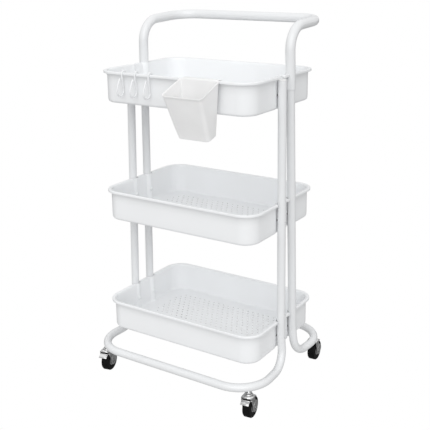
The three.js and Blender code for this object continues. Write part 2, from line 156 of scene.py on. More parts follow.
def filleted(points, radii, step=4.0):
    pts = [Vector(p) for p in points]
    out = [pts[0]]
    for i in range(1, len(pts) - 1):
        p = pts[i]
        a = (pts[i - 1] - p).normalized()
        b = (pts[i + 1] - p).normalized()
        ang = a.angle(b)
        R = radii[i - 1]
        t = R / math.tan(ang / 2)
        A, B = p + a * t, p + b * t
        c = p + (a + b).normalized() * (R / math.sin(ang / 2))
        u, w = (A - c) / R, (B - c) / R
        th = u.angle(w)
        v = (w - u * math.cos(th)) / math.sin(th)
        n = max(3, round(math.degrees(th) / step))
        for k in range(n + 1):
            q = th * k / n
            out.append(c + u * (R * math.cos(q)) + v * (R * math.sin(q)))
    out.append(pts[-1])
    return out


def frames_along(pts):
    n = len(pts)
    tans = []
    for i in range(n):
        t = Vector((0, 0, 0))
        if i > 0:
            t += (pts[i] - pts[i - 1]).normalized()
        if i < n - 1:
            t += (pts[i + 1] - pts[i]).normalized()
        tans.append(t.normalized())
    ref = Vector((1, 0, 0)) if abs(tans[0].x) < 0.9 else Vector((0, 1, 0))
    u = (ref - tans[0] * ref.dot(tans[0])).normalized()
    out = []
    for i, t in enumerate(tans):
        if i:
            q = tans[i - 1].rotation_difference(t)
            u = q @ u
            u = (u - t * u.dot(t)).normalized()
        out.append((t, u, t.cross(u)))
    return out


def tube(name, pts, r, mat, body, n=28, bore=0.0, chamfer=0.5, round_ends=False):
    """A swept tube; bore > 0 makes it hollow with rolled end edges, else its ends are closed."""
    pts = [Vector(p) for p in pts]
    fr = frames_along(pts)
    verts, faces = [], []

    def ring(c, f, rad):
        t, u, v = f
        k = len(verts)
        for j in range(n):
            a = 2 * math.pi * j / n
            verts.append(c + u * (rad * math.cos(a)) + v * (rad * math.sin(a)))
        return k

    def skin(a, b, flip=False):
        for j in range(n):
            k = (j + 1) % n
            q = (a + j, a + k, b + k, b + j)
            faces.append(q[::-1] if flip else q)

    rings = []
    t0, t1 = fr[0][0], fr[-1][0]
    if bore > 0:
        c = chamfer
        rings.append(ring(pts[0] + t0 * (len_in := 12.0), fr[0], bore))
        rings.append(ring(pts[0] + t0 * c, fr[0], bore))
        rings.append(ring(pts[0], fr[0], bore + c * 0.8))
        rings.append(ring(pts[0], fr[0], r - c * 0.8))
        rings.append(ring(pts[0] + t0 * c, fr[0], r))
        for i in range(1, len(pts) - 1):
            rings.append(ring(pts[i], fr[i], r))
        rings.append(ring(pts[-1] - t1 * c, fr[-1], r))
        rings.append(ring(pts[-1], fr[-1], r - c * 0.8))
        rings.append(ring(pts[-1], fr[-1], bore + c * 0.8))
        rings.append(ring(pts[-1] - t1 * c, fr[-1], bore))
        rings.append(ring(pts[-1] - t1 * len_in, fr[-1], bore))
        # inner wall back along the path
        inner = []
        for i in range(len(pts) - 2, 0, -1):
            inner.append(ring(pts[i], fr[i], bore))
        rings += inner
        for a, b in zip(rings, rings[1:] + rings[:1]):
            skin(a, b)
    else:
        seq = []
        if round_ends:
            for k in range(5):
                a = math.pi / 2 * (1 - k / 5)
                seq.append((pts[0] - t0 * (r * math.sin(a)) + t0 * 0.0, fr[0], max(r * math.cos(a), 0.02)))
        for i in range(len(pts)):
            seq.append((pts[i], fr[i], r))
        if round_ends:
            for k in range(1, 6):
                a = math.pi / 2 * k / 5
                seq.append((pts[-1] + t1 * (r * math.sin(a)), fr[-1], max(r * math.cos(a), 0.02)))
        rings = [ring(*s) for s in seq]
        for a, b in zip(rings, rings[1:]):
            skin(a, b)
        faces.append(tuple(range(rings[0], rings[0] + n))[::-1])
        faces.append(tuple(range(rings[-1], rings[-1] + n)))
    return make(name, verts, faces, mat, body)


def lathe(profile, n=48, axis="z"):
    """profile: closed loop of (r, h); returns verts, faces. r = 0 points lie on the axis."""
    verts, faces, rows = [], [], []
    for r, h in profile:
        if r < 1e-6:
            rows.append(("p", len(verts)))
            verts.append((0, 0, h))
        else:
            rows.append(("r", len(verts)))
            for j in range(n):
                a = 2 * math.pi * (j + 0.5) / n
                verts.append((r * math.cos(a), r * math.sin(a), h))
    m = len(profile)
    open_ends = profile[0][0] < 1e-6 and profile[-1][0] < 1e-6
    for i in range(m - 1 if open_ends else m):
        (ka, a), (kb, b) = rows[i], rows[(i + 1) % m]
        for j in range(n):
            k = (j + 1) % n
            if ka == "r" and kb == "r":
                faces.append((a + j, a + k, b + k, b + j))
            elif ka == "p" and kb == "r":
                faces.append((a, b + k, b + j))
            elif ka == "r" and kb == "p":
                faces.append((a + j, a + k, b))
    if axis == "x":
        verts = [(h, y, -x) for x, y, h in verts]
    return verts, faces


def smooth_profile(pts, radius_steps=4):
    """rounds each marked corner of an open profile: pts are (x, y) or (x, y, radius)."""
    out = []
    n = len(pts)
    for i, p in enumerate(pts):
        if len(p) == 2 or i in (0, n - 1):
            out.append((p[0], p[1]))
            continue
        q, a, b = Vector(p[:2]), Vector(pts[i - 1][:2]), Vector(pts[i + 1][:2])
        u, w = (a - q), (b - q)
        R = min(p[2], u.length * 0.48, w.length * 0.48)
        A, B = q + u.normalized() * R, q + w.normalized() * R
        for k in range(radius_steps + 1):
            t = k / radius_steps
            v = A * (1 - t) ** 2 + q * 2 * t * (1 - t) + B * t * t
            out.append((v.x, v.y))
    return out


def prism(outline, x0, x1):
    """closed (y, z) outline extruded along x."""
    n = len(outline)
    verts = [(x0, y, z) for y, z in outline] + [(x1, y, z) for y, z in outline]
    faces = [tuple(range(n)), tuple(range(2 * n - 1, n - 1, -1))]
    for j in range(n):
        k = (j + 1) % n
        faces.append((j, n + j, n + k, k))
    return verts, faces


# ---------------------------------------------------------------- materials
def new_mat(name, **sockets):
    m = bpy.data.materials.new(name)
    m.use_nodes = True
    nt = m.node_tree
    b = nt.nodes["Principled BSDF"]
    for k, v in sockets.items():
        key = k.replace("_", " ")
        b.inputs[key].default_value = v
    return m, nt, b


def noise(nt, scale, detail=3.0, rough=0.5, vec=None, dist=0.0):
    t = nt.nodes.new("ShaderNodeTexNoise")
    t.inputs["Scale"].default_value = scale
    t.inputs["Detail"].default_value = detail
    t.inputs["Roughness"].default_value = rough
    t.inputs["Distortion"].default_value = dist
    if vec is None:
        tc = nt.nodes.new("ShaderNodeTexCoord")
        vec = tc.outputs["Object"]
    nt.links.new(vec, t.inputs["Vector"])
    return t


def ramp(nt, fac, stops):
    r = nt.nodes.new("ShaderNodeValToRGB")
    el = r.color_ramp.elements
    el[0].position, el[0].color = stops[0][0], stops[0][1]
    el[1].position, el[1].color = stops[-1][0], stops[-1][1]
    for p, c in stops[1:-1]:
        e = el.new(p)
        e.color = c
    nt.links.new(fac, r.inputs["Fac"])
    return r


def grey(v, warm=0.0):
    return (v * (1 + warm), v, v * (1 - warm), 1)


def bump(nt, b, height, strength, dist_mm):
    n = nt.nodes.new("ShaderNodeBump")
    n.inputs["Strength"].default_value = strength
    n.inputs["Distance"].default_value = dist_mm * 0.001
    nt.links.new(height, n.inputs["Height"])
    nt.links.new(n.outputs["Normal"], b.inputs["Normal"])
    return n


def map_range(nt, val, a, b, c, d):
    m = nt.nodes.new("ShaderNodeMapRange")
    m.inputs["From Min"].default_value = a
    m.inputs["From Max"].default_value = b
    m.inputs["To Min"].default_value = c
    m.inputs["To Max"].default_value = d
    nt.links.new(val, m.inputs["Value"])
    return m


def powder_coat(name, base, rough=0.34):
    """baked powder coat: fine orange peel, a faint cloudiness, slightly uneven gloss."""
    m, nt, b = new_mat(name)
    cloud = noise(nt, 9.0, 3.0)
    col = ramp(nt, cloud.outputs["Fac"], [(0.35, grey(base * 0.985, -0.012)), (0.65, grey(base, -0.014))])
    nt.links.new(col.outputs["Color"], b.inputs["Base Color"])
    peel = noise(nt, 620.0, 2.0, 0.45)
    fine = noise(nt, 2100.0, 1.0, 0.4)
    add = nt.nodes.new("ShaderNodeMath")
    add.operation = "MULTIPLY_ADD"
    add.inputs[1].default_value = 0.35
    nt.links.new(fine.outputs["Fac"], add.inputs[0])
    nt.links.new(peel.outputs["Fac"], add.inputs[2])
    bump(nt, b, add.outputs[0], 0.22, 0.06)
    gl = noise(nt, 30.0, 3.0)
    r = map_range(nt, gl.outputs["Fac"], 0.3, 0.7, rough - 0.03, rough + 0.04)
    nt.links.new(r.outputs["Result"], b.inputs["Roughness"])
    b.inputs["Coat Weight"].default_value = 0.25
    b.inputs["Coat Roughness"].default_value = 0.22
    b.inputs["IOR"].default_value = 1.5
    return m


def plated(name, base, rough, streak=(1.0, 1.0, 1.0)):
    m, nt, b = new_mat(name, Metallic=1.0)
    tc = nt.nodes.new("ShaderNodeTexCoord")
    mp = nt.nodes.new("ShaderNodeMapping")
    mp.inputs["Scale"].default_value = streak
    nt.links.new(tc.outputs["Object"], mp.inputs["Vector"])
    c = noise(nt, 160.0, 4.0, 0.6, mp.outputs["Vector"])
    col = ramp(nt, c.outputs["Fac"], [(0.3, grey(base * 0.86)), (0.55, grey(base)), (0.75, grey(min(base * 1.06, 1.0)))])
    nt.links.new(col.outputs["Color"], b.inputs["Base Color"])
    r = map_range(nt, c.outputs["Fac"], 0.25, 0.75, rough * 0.7, rough * 1.5)
    nt.links.new(r.outputs["Result"], b.inputs["Roughness"])
    f = noise(nt, 900.0, 2.0, 0.5, mp.outputs["Vector"])
    bump(nt, b, f.outputs["Fac"], 0.12, 0.04)
    return m


def rubber(name):
    m, nt, b = new_mat(name)
    c = noise(nt, 120.0, 4.0, 0.65)
    col = ramp(nt, c.outputs["Fac"], [(0.3, (0.004, 0.004, 0.0042, 1)), (0.6, (0.007, 0.007, 0.0072, 1)), (0.8, (0.014, 0.0135, 0.013, 1))])
    nt.links.new(col.outputs["Color"], b.inputs["Base Color"])
    b.inputs["Specular IOR Level"].default_value = 0.14
    r = map_range(nt, c.outputs["Fac"], 0.3, 0.7, 0.48, 0.66)
    nt.links.new(r.outputs["Result"], b.inputs["Roughness"])
    f = noise(nt, 1500.0, 2.0, 0.5)
    bump(nt, b, f.outputs["Fac"], 0.25, 0.05)
    return m


def moulded(name, base, rough, warm=0.0, sub=0.0, peel=0.12, scale=1400.0):
    m, nt, b = new_mat(name)
    c = noise(nt, 22.0, 3.0)
    col = ramp(nt, c.outputs["Fac"], [(0.35, grey(base * 0.97, warm)), (0.65, grey(base, warm))])
    nt.links.new(col.outputs["Color"], b.inputs["Base Color"])
    f = noise(nt, scale, 2.0, 0.5)
    bump(nt, b, f.outputs["Fac"], peel, 0.05)
    r = map_range(nt, c.outputs["Fac"], 0.3, 0.7, rough - 0.04, rough + 0.04)
    nt.links.new(r.outputs["Result"], b.inputs["Roughness"])
    if sub > 0:
        b.inputs["Subsurface Weight"].default_value = sub
        b.inputs["Subsurface Radius"].default_value = (0.006, 0.006, 0.006)
        b.inputs["Subsurface Scale"].default_value = 1.0
    return m


M_FRAME = powder_coat("coat_frame", 0.80, 0.34)
M_BASK = powder_coat("coat_basket", 0.89, 0.40)
M_HOOK = powder_coat("coat_hook", 0.86, 0.3)
M_CUP = moulded("cup_plastic", 0.90, 0.42, 0.0, 0.25)
M_CAP = moulded("cap_plastic", 0.78, 0.45)
M_CHROME = plated("bright_plate", 0.72, 0.10)
M_ZINC = plated("dull_plate", 0.52, 0.42, (1.0, 1.0, 0.2))
M_STEEL = plated("plain_plate", 0.42, 0.3)
M_DARK = plated("blackened_plate", 0.10, 0.4)
# darker grey for the walls of the basket floor holes: painted shade
M_HOLE_SHADE = moulded("hole_wall_painted_shade", 0.46, 0.6)
M_RUBBER = rubber("black_rubber")
M_HUB = moulded("hub_grey", 0.30, 0.45, 0.0, 0.0, 0.15, 900.0)

# ---------------------------------------------------------------- tube frames and handle
for name, sy, z_end in (("front_frame", -1, FRONT_END), ("rear_frame", 1, REAR_END)):
    lx, ly = post_x(sy, BASE_Z) + FLARE, sy * post_y(BASE_Z)
    corner = [post_pt(-1, sy, z_end), post_pt(-1, sy, FLARE_Z), (-lx, ly, BASE_Z), (-BASE_X, sy * BASE_Y, BASE_Z),
              (BASE_X, sy * BASE_Y, BASE_Z), (lx, ly, BASE_Z), post_pt(1, sy, FLARE_Z), post_pt(1, sy, z_end)]
    ob = tube(name + "_tube", filleted(corner, [120, BEND_R, CORNER_R, CORNER_R, BEND_R, 120], 3.5), TUBE_R, M_FRAME, "cart", n=32, bore=8.3)
    if sy < 0:
        # small access holes on the outer face, opposite the screws of the two lower baskets
        for tier in ("bottom", "middle"):
            for sx in (-1, 1):
                z = RIM_Z[tier] - SCREW_DROP - 1.0
                v, f = lathe([(0, -5.0), (1.7, -5.0), (1.7, 5.0), (0, 5.0)], 20, "x")
                loc = Matrix.Translation((sx * (post_x(sy, z) + TUBE_R), sy * post_y(z), z))
                boolean(ob, make("bore", v, f, M_DARK, None, local=loc), "DIFFERENCE")
    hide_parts(name)

zb = HANDLE_Z - HANDLE_RISE
corner = [post_pt(-1, 1, HANDLE_END), post_pt(-1, 1, zb), (-HANDLE_X, HANDLE_Y, HANDLE_Z),
          (HANDLE_X, HANDLE_Y, HANDLE_Z), post_pt(1, 1, zb), post_pt(1, 1, HANDLE_END)]
ob = tube("handle_tube", filleted(corner, [HANDLE_BEND, HANDLE_CORNER, HANDLE_CORNER, HANDLE_BEND], 3.5), HANDLE_R, M_FRAME, "cart", n=36, bore=9.85, chamfer=0.6)
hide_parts("handle")

for name, sx in (("front_left_post_cap", -1), ("front_right_post_cap", 1)):
    prof = smooth_profile([(0, -12), (7.4, -12, 0.8), (7.6, -10), (7.9, 0.2), (9.5, 0.3, 0.3), (9.5, 1.6, 1.2), (7.6, 3.0, 2.0), (0, 3.6)])
    v, f = lathe(prof, 40)
    ob = make(name + "_plug", v, f, M_CAP, "cart", local=Matrix.Translation(post_pt(sx, -1, FRONT_END)))
    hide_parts(name)

# ---------------------------------------------------------------- baskets
SHEET = 0.9


def sstep(a, b, x):
    t = min(max((x - a) / (b - a), 0.0), 1.0)
    return t * t * (3 - 2 * t)


def perimeter(L, W, R):
    """points of a rounded rectangle with outward normals: (x, y, nx, ny), dense where the grooves are."""
    out = []
    hx, hy = L / 2, W / 2
    ys = [-(hy - R)] + [float(v) for v in np.linspace(-50, 50, 73)] + [(hy - R)]
    for y in ys:
        out.append((hx, y, 1.0, 0.0))
    cn = 14
    for k in range(1, cn):
        a = math.pi / 2 * k / cn
        out.append((hx - R + R * math.cos(a), hy - R + R * math.sin(a), math.cos(a), math.sin(a)))
    for x in np.linspace(hx - R, -(hx - R), 13):
        out.append((float(x), hy, 0.0, 1.0))
    for k in range(1, cn):
        a = math.pi / 2 * (1 + k / cn)
        out.append((-(hx - R) + R * math.cos(a), hy - R + R * math.sin(a), math.cos(a), math.sin(a)))
    for y in reversed(ys):
        out.append((-hx, y, -1.0, 0.0))
    for k in range(1, cn):
        a = math.pi * (1 + 0.5 * k / cn)
        out.append((-(hx - R) + R * math.cos(a), -(hy - R) + R * math.sin(a), math.cos(a), math.sin(a)))
    for x in np.linspace(-(hx - R), hx - R, 13):
        out.append((float(x), -hy, 0.0, -1.0))
    for k in range(1, cn):
        a = math.pi * (1.5 + 0.5 * k / cn)
        out.append((hx - R + R * math.cos(a), -(hy - R) + R * math.sin(a), math.cos(a), math.sin(a)))
    return out


def basket(tier):
    zr = RIM_Z[tier]
    z0 = zr - BASK_H
    L, W, R = RIM_L[tier] - 2 * OVER, RIM_W - 2 * OVER, RIM_R - OVER
    per = perimeter(L, W, R)
    N = len(per)
    yc = {q: post_y(zr - 30) for q in (-1, 1)}
    away = {q: post_x(q, zr - 30) - L / 2 for q in (-1, 1)}   # post axis outside the wall

    def groove(x, y, nx):
        """pressed channel round a post: (depth, how far the lip is notched)."""
        if abs(nx) < 0.999:
            return 0.0, 0.0
        q = 1 if y > 0 else -1
        t = abs(y - q * yc[q])
        if t > GROOVE_R + 6:
            return 0.0, 0.0
        base = math.sqrt(max(GROOVE_R ** 2 - t * t, 0.0)) - away[q]
        g = 0.5 * (base + math.sqrt(base * base + 1.6)) * (1 - sstep(GROOVE_R - 1, GROOVE_R + 5, t))
        return g, 1.0 - sstep(10.4, 14.0, t)

    gw = [groove(x, y, nx) for x, y, nx, ny in per]
    verts, faces = [], []
    rows = []

    def row(fn):
        k = len(verts)
        for (x, y, nx, ny), (g, w) in zip(per, gw):
            o, z = fn(g, w)
            # corners of the floor keep their plan radius positive
            verts.append((x + nx * (o - g), y + ny * (o - g), z))
        rows.append(k)

    FR = 6.0
    # inside: floor edge, foot radius, wall, round the bead, outside wall, foot radius, underside
    row(lambda g, w: (-(SHEET + 26.0) + g, z0 + SHEET))
    row(lambda g, w: (-(SHEET + FR + 5), z0 + SHEET))
    for k in range(6):
        a = math.pi / 2 * k / 5
        row(lambda g, w, a=a: (-(SHEET + FR) + FR * math.sin(a), z0 + SHEET + FR * (1 - math.cos(a))))
    row(lambda g, w: (-SHEET, z0 + 22))
    row(lambda g, w: (-SHEET, z0 + 44))
    row(lambda g, w: (-SHEET, zr - 8))
    # the lip: the wall rolls outwards to a flat top and turns down into a hem; (o, z) plain, (o, z) where notched
    lip = []
    for k in range(7):                                   # inside roll
        a = math.pi / 2 * k / 6
        lip.append((-0.9 + 4.6 * (1 - math.cos(a)), -1.2 + 4.6 * math.sin(a), -0.9, -2.0 + 4.6 * k / 6))
    lip.append((5.2, 3.5, -0.7, 3.0))
    for k in range(7):                                   # outer edge
        a = math.pi / 2 * (1 - k / 6)
        lip.append((6.3 + 1.7 * math.cos(a), 1.8 + 1.7 * math.sin(a), -0.6 + 0.1 * k, 3.1 - 0.05 * k))
    for k in range(7):                                   # hem
        a = -math.pi * k / 6
        lip.append((7.35 + 0.65 * math.cos(a), -1.7 + 0.65 * math.sin(a), 0.0, 2.7 - 0.2 * k))
    lip.append((6.7, 1.2, 0.0, 1.0))
    for k in range(5):                                   # underside of the roll
        a = math.pi / 2 * (1 - k / 4)
        lip.append((3.9 - 3.9 * math.cos(math.pi / 2 - a), -1.6 + 3.9 * math.sin(a), 0.0, 0.6 - 0.6 * k))
    for o0, q0, o1, q1 in lip:
        row(lambda g, w, o0=o0, q0=q0, o1=o1, q1=q1: (o0 * (1 - w) + o1 * w, zr + q0 * (1 - w) + q1 * w))
    row(lambda g, w: (0.0, zr - 8))
    row(lambda g, w: (0.0, z0 + 44))
    row(lambda g, w: (0.0, z0 + 22))
    FO = FR + SHEET
    for k in range(6):
        a = math.pi / 2 * (1 - k / 5)
        row(lambda g, w, a=a: (-FO + FO * math.sin(a), z0 + FO * (1 - math.cos(a))))
    row(lambda g, w: (-(SHEET + FR + 5), z0))
    row(lambda g, w: (-(SHEET + 26.0) + g, z0))
    for a, b in zip(rows, rows[1:]):
        for j in range(N):
            k = (j + 1) % N
            faces.append((a + j, a + k, b + k, b + j))

    # perforated floor: staggered round holes cut through the sheet
    loop = [Vector(verts[rows[0] + j][:2]) for j in range(N)]
    pts = [Vector((p.x, p.y)) for p in loop]
    edges = [(j, (j + 1) % N) for j in range(N)]
    pitch, dy, hr, hn = 15.0, 13.0, 1.8, 10
    holes = []
    nyr = int((W / 2 - 36) // dy)
    for iy in range(-nyr, nyr + 1):
        off = pitch / 2 if iy % 2 else 0.0
        nxr = int((L / 2 - 36) // pitch)
        for ix in range(-nxr, nxr + 1):
            x, y = ix * pitch + off, iy * dy
            if abs(x) > L / 2 - 36 or abs(y) > W / 2 - 36:
                continue
            if (abs(x) > L / 2 - 50 and abs(y) > W / 2 - 50) and math.hypot(abs(x) - (L / 2 - 50), abs(y) - (W / 2 - 50)) > 14:
                continue
            holes.append((x, y))
    hole_loops = []
    for (x, y) in holes:
        k = len(pts)
        for j in range(hn):
            a = 2 * math.pi * (j + 0.5) / hn
            pts.append(Vector((x + hr * math.cos(a), y + hr * math.sin(a))))
        edges += [(k + j, k + (j + 1) % hn) for j in range(hn)]
        hole_loops.append(k)
    vo, eo, fo, vorig, _, _ = delaunay_2d_cdt(pts, edges, [], 0, 1e-5)
    back = {}
    for i, src in enumerate(vorig):
        back[i] = src[0] if src else None
    hset = {}
    for h, k in enumerate(hole_loops):
        for j in range(hn):
            hset[k + j] = h
    top = {}
    bot = {}
    last = rows[-1]
    for i, p in enumerate(vo):
        s = back[i]
        if s is not None and s < N:
            top[i], bot[i] = rows[0] + s, last + s
        else:
            top[i] = len(verts)
            verts.append((p.x, p.y, z0 + SHEET))
            bot[i] = len(verts)
            verts.append((p.x, p.y, z0))
    inv = {back[i]: i for i in back if back[i] is not None}
    outer_poly = loop

    def inside(pt):
        c = False
        x, y = pt
        for a in range(N):
            p, q = outer_poly[a], outer_poly[a - 1]
            if (p.y > y) != (q.y > y) and x < (q.x - p.x) * (y - p.y) / (q.y - p.y) + p.x:
                c = not c
        return c
    for fc in fo:
        srcs = [back[i] for i in fc]
        hs = {hset.get(s) for s in srcs}
        if len(hs) == 1 and None not in hs:
            continue
        if all(s is not None and s < N for s in srcs):
            cx = sum(vo[i].x for i in fc) / len(fc)
            cy = sum(vo[i].y for i in fc) / len(fc)
            if not inside((cx, cy)):
                continue
        faces.append(tuple(top[i] for i in fc))
        faces.append(tuple(bot[i] for i in reversed(fc)))
    for k in hole_loops:
        ids = [inv[k + j] for j in range(hn)]
        for j in range(hn):
            a, b = ids[j], ids[(j + 1) % hn]
            faces.append((top[b], top[a], bot[a], bot[b]))
    ob = make(tier + "_basket_pressing", verts, faces, M_BASK, "cart", sharp=50)
    # the walls of the punched holes get a darker grey: painted shade inside the holes
    ob.data.materials.append(M_HOLE_SHADE)
    for pl in ob.data.polygons:
        if abs(pl.normal.z) < 0.3 and z0 + 0.1 < pl.center.z * 1000 < z0 + SHEET - 0.1:
            pl.material_index = 1
    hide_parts(tier + "_basket")
    return ob


for tier in ("bottom", "middle", "top"):
    basket(tier)

# ---------------------------------------------------------------- basket screws
for tier in ("bottom", "middle", "top"):
    for sy, fr_ in ((-1, "front"), (1, "rear")):
        for sx, lr in ((-1, "left"), (1, "right")):
            z = RIM_Z[tier] - SCREW_DROP
            y = sy * post_y(z)
            face = post_x(sy, z) - GROOVE_R - SHEET - 0.12     # inner face of the groove
            prof = smooth_profile([(0, -2.9), (3.2, -2.7, 1.2), (4.9, -0.9, 0.8), (5.0, -0.05, 0.1), (2.0, 0.0), (2.0, 7.0), (0, 7.0)])
            v, f = lathe(prof, 32, "x")
            loc = Matrix.Translation((sx * face, y, z)) @ (Matrix.Rotation(math.pi, 4, "Z") if sx < 0 else Matrix.Identity(4))
            node = f"{tier}_screw_{fr_}_{lr}"
            ob = make(node + "_pan", v, f, M_DARK, "cart", local=loc)
            # cross recess
            for rot in (0, 90):
                bv, bf = prism([(-0.55, -2.4), (0.55, -2.4), (0.55, 2.4), (-0.55, 2.4)], -4.0, -1.6)
                c = make("cutter", bv, bf, None, None, local=loc @ Matrix.Rotation(math.radians(rot + 20), 4, "X"))
                boolean(ob, c, "DIFFERENCE")
            # the head is coated with the basket, the shank is bare
            ob.data.materials.append(M_HOOK)
            inv = loc.inverted()
            for pl in ob.data.polygons:
                c = inv @ (pl.center * 1000 - Vector((OX, OY, 0)))
                if c.x < -0.02:
                    pl.material_index = 1
            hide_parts(node)

# ---------------------------------------------------------------- casters
def caster(name, sx, sy, turn, brake):
    L = Matrix.Translation((sx * SWIVEL_X, sy * SWIVEL_Y, 0)) @ Matrix.Rotation(math.radians(turn), 4, "Z")
    fork_body, wheel_body = name + "_fork", name + "_wheel"
    # stem: hexagon with a chamfer and threaded stud
    hexa = smooth_profile([(0, 61.95), (6.6, 61.95), (7.5, 62.5), (7.5, 64.6), (6.6, 65.1), (0, 65.1)])
    v, f = lathe(hexa, 6)
    ob = make(name + "_stem_nut", v, f, M_CHROME, "cart", local=L, sharp=20)
    bevel(ob, 0.2, 2, 30, 30)
    studs = [(0, 58.2), (3.4, 58.2)]
    z = 59.0
    while z < 74:
        studs += [(3.95, z), (3.5, z + 0.5)]
        z += 1.0
    studs += [(3.4, 75.0), (0, 75.0)]
    v, f = lathe(studs, 24)
    st = make("stud", v, f, M_CHROME, None, local=L)
    boolean(ob, st, "UNION")
    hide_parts(name + "_caster_stem")
    # fork: domed crown with a ball race collar over a bridge plate
    crown = smooth_profile([(0, 53.5), (12.4, 53.5, 0.6), (13.2, 54.2), (13.2, 55.4, 1.0), (11.6, 57.0, 1.4), (10.0, 57.5), (9.6, 58.2, 0.4), (9.4, 60.6, 0.8), (8.6, 61.55, 0.8), (4.7, 61.55), (4.7, 57.6), (0, 57.6)])
    v, f = lathe(crown, 56)
    fork = make(name + "_fork_crown", v, f, M_CHROME, fork_body, local=L)
    cy = TRAIL
    out = smooth_profile([(-12.0, 47.2, 0.3), (-12.0, 55.2, 2.2), (11.0, 55.2, 2.2), (11.0, 51.0, 0.3), (10.0, 51.0, 0.3), (10.0, 53.5, 1.0), (-11.0, 53.5, 1.0), (-11.0, 47.2, 0.3), (-12.0, 47.2)], 4)
    v, f = prism([(-12.0, 53.4), (11.0, 53.4), (11.0, 55.2), (-12.0, 55.2)], -13.6, 13.6)
    boolean(fork, make("bridge", v, f, M_CHROME, None, local=L), "UNION")
    if brake:
        v, f = lathe([(0, -20), (1.9, -20), (1.9, 20), (0, 20)], 20, "x")
        boolean(fork, make("bore", v, f, None, None, local=L @ Matrix.Translation((0, -9, 48.6))), "DIFFERENCE")
    bevel(fork, 0.35, 2, 40, 40)
    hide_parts(name + "_caster_fork")
    # the two cheeks: a neck under the bridge, then a broad round plate with a pressed edge
    cheeks = None
    for q in (-1, 1):
        out = [(-11.0, 55.2), (-11.9, 51.0), (-11.2, 46.5), (-8.6, 40.0)]
        for k in range(33):
            a = math.pi * (0.9 + 1.5 * k / 32)
            out.append((cy + CHEEK_R * math.cos(a), CHEEK_Z + CHEEK_R * math.sin(a)))
        out += [(6.4, 45.4), (4.9, 48.4), (4.2, 55.2)]
        v, f = prism(out, q * 12.15, q * 13.45)
        leg = make(name + "_cheek", v, f, M_ZINC, None, local=L)
        # pressed rib round the plate and a washer ring round the pin
        ring = smooth_profile([(9.6, 0.0), (9.6, 0.4), (10.4, 0.8, 0.4), (11.2, 0.4), (11.2, 0.0)], 4)
        v, f = lathe([(r_, q * h) for r_, h in ring], 48, "x")
        boolean(leg, make("rib", v, f, None, None, local=L @ Matrix.Translation((q * 13.4, cy, CHEEK_Z))), "UNION")
        v, f = lathe([(0, -20), (3.35, -20), (3.35, 20), (0, 20)], 24, "x")
        boolean(leg, make("bore", v, f, None, None, local=L @ Matrix.Translation((0, cy, WHEEL_R))), "DIFFERENCE")
        if brake:
            v, f = lathe([(0, -20), (1.9, -20), (1.9, 20), (0, 20)], 20, "x")
            boolean(leg, make("bore", v, f, None, None, local=L @ Matrix.Translation((0, -9, 48.6))), "DIFFERENCE")
        bevel(leg, 0.3, 2, 40, 40)
        if cheeks is None:
            cheeks = leg
        else:
            boolean(cheeks, leg, "UNION")
    cheeks.name = name + "_fork_cheeks"
    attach(cheeks, fork_body)
    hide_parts(name + "_caster_fork")
    LW = L @ Matrix.Translation((0, cy, WHEEL_R))
    # tyre: broad tread with fine moulded grooves round it and rounded shoulders
    half = [(12.0, 8.6), (13.2, 9.0, 0.5), (18.0, 9.3, 0.8), (20.6, 9.95, 1.2), (23.6, 9.3, 1.4), (24.7, 7.4, 0.8)]
    tread = []
    for h in (7.0, 5.2, 3.4, 1.6):
        tread += [(24.95, h + 0.25), (24.45, h + 0.1), (24.45, h - 0.1), (24.97, h - 0.25)]
    neg = [(q[0], -q[1]) + tuple(q[2:]) for q in half]
    tl = [(r_, -h) for r_, h in tread]
    prof = smooth_profile(neg + tl + [(r_, h) for r_, h in reversed(tread)] + list(reversed(half)))
    v, f = lathe(prof, 96, "x")
    ob = make(name + "_tyre_rubber", v, f, M_RUBBER, wheel_body, local=LW)
    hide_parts(name + "_tyre")
    # hub: dished both sides, raised rim and boss
    half = [(3.35, 10.5), (5.6, 10.5, 0.6), (6.2, 9.4, 0.6), (7.4, 8.7, 0.5), (9.0, 8.7, 0.8), (9.8, 9.2, 0.4), (11.4, 9.3, 0.4), (11.8, 8.6)]
    prof = smooth_profile([(q[0], -q[1]) + tuple(q[2:]) for q in half] + [tuple(q) for q in reversed(half)])
    v, f = lathe(prof, 72, "x")
    ob = make(name + "_hub_disc", v, f, M_HUB, wheel_body, local=LW)
    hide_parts(name + "_hub")
    # axle: rivet head one side, upset end the other
    prof = smooth_profile([(0, -15.5), (2.6, -15.3, 0.8), (4.7, -14.5, 0.5), (4.8, -13.65), (3.0, -13.6), (3.0, 13.6), (4.4, 13.65), (4.3, 14.4, 0.5), (2.2, 15.2, 0.8), (0, 15.3)])
    v, f = lathe(prof, 32, "x")
    ob = make(name + "_axle_pin", v, f, M_STEEL, fork_body, local=LW)
    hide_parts(name + "_axle")
    if brake:
        out = smooth_profile([(-8.0, 50.9), (-11.5, 51.3, 1.5), (-17.4, 50.4, 2.0), (-22.9, 48.0, 2.0), (-25.8, 44.8, 0.6), (-24.8, 43.8, 0.4), (-21.7, 46.6, 1.6), (-16.7, 48.8, 1.6), (-11.5, 49.6, 1.0), (-9.2, 48.2), (-8.6, 46.8), (-7.4, 47.2), (-7.0, 49.6)], 3)
        v, f = prism(out, -10.2, 10.2)
        ob = make(name + "_pedal_plate", v, f, M_CHROME, name + "_brake", local=L)
